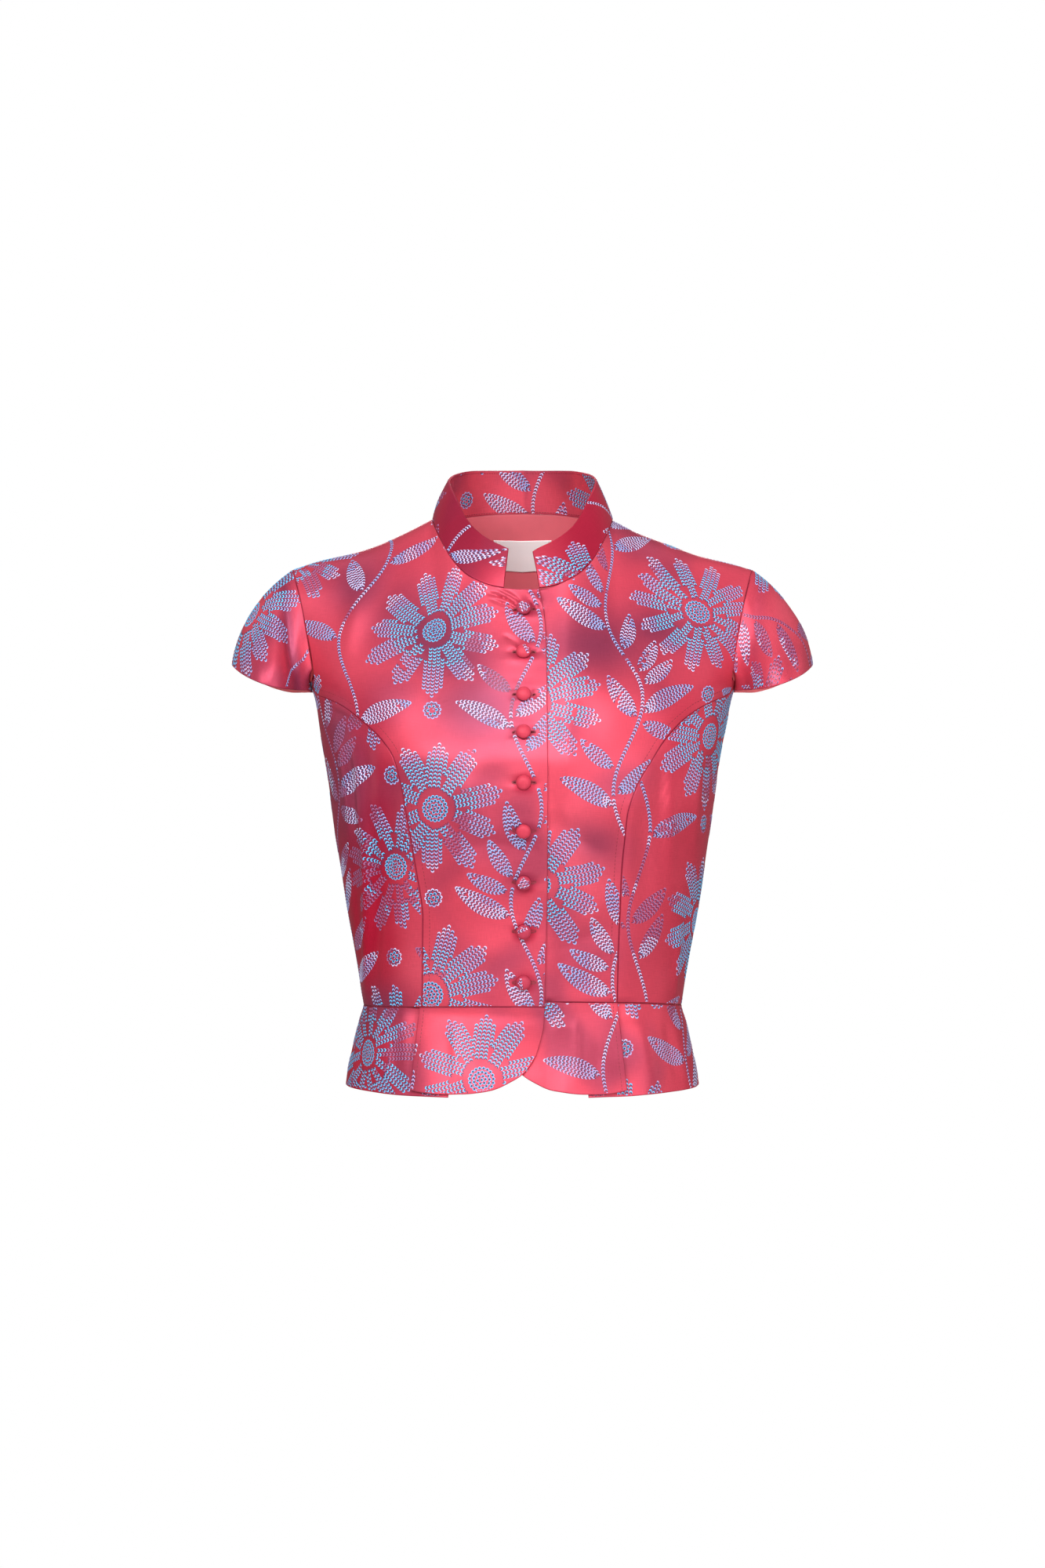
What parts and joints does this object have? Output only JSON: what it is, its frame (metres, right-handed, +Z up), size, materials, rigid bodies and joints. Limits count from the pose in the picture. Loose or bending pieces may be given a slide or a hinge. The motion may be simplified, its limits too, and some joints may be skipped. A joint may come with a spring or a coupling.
{
  "type": "cap-sleeve peplum top",
  "caption": "Fitted top with a stand collar open at the centre front, set-in cap sleeves, a buttoned lapped front and a short flared peplum, holding its worn shape.",
  "frame": {"origin": "midway between the two points where the shoulder line meets the foot of the collar, level with them, in the plane of the shoulder seams", "axes": "+Z up from the hem to the collar, -Y the way the buttoned front faces, +X towards the wearer's left"},
  "size_m": [0.4736, 0.2273, 0.5092],
  "materials": {
    "satin": "shot satin in coral red with a plum cast, woven with lilac and sky-blue flower and leaf marks",
    "plain_cloth": "plain coral cloth",
    "label_cloth": "blank pale satin ribbon",
    "button_cloth": "button covered in the shot satin"
  },
  "bodies": {
    "root": {"front_right": "satin", "front_left": "satin", "side_front_right": "satin", "side_front_left": "satin", "back": "satin", "collar": "satin", "sleeve_right": "satin", "sleeve_left": "satin", "peplum_front_right": "satin", "peplum_front_left": "satin", "peplum_side_right": "satin", "peplum_side_left": "satin", "peplum_back": "satin", "back_facing": "plain_cloth", "label": "label_cloth", "button_1": "button_cloth", "button_2": "button_cloth", "button_3": "button_cloth", "button_4": "button_cloth", "button_5": "button_cloth", "button_6": "button_cloth", "button_7": "button_cloth", "button_8": "button_cloth", "button_9": "button_cloth"}
  },
  "joints": []
}
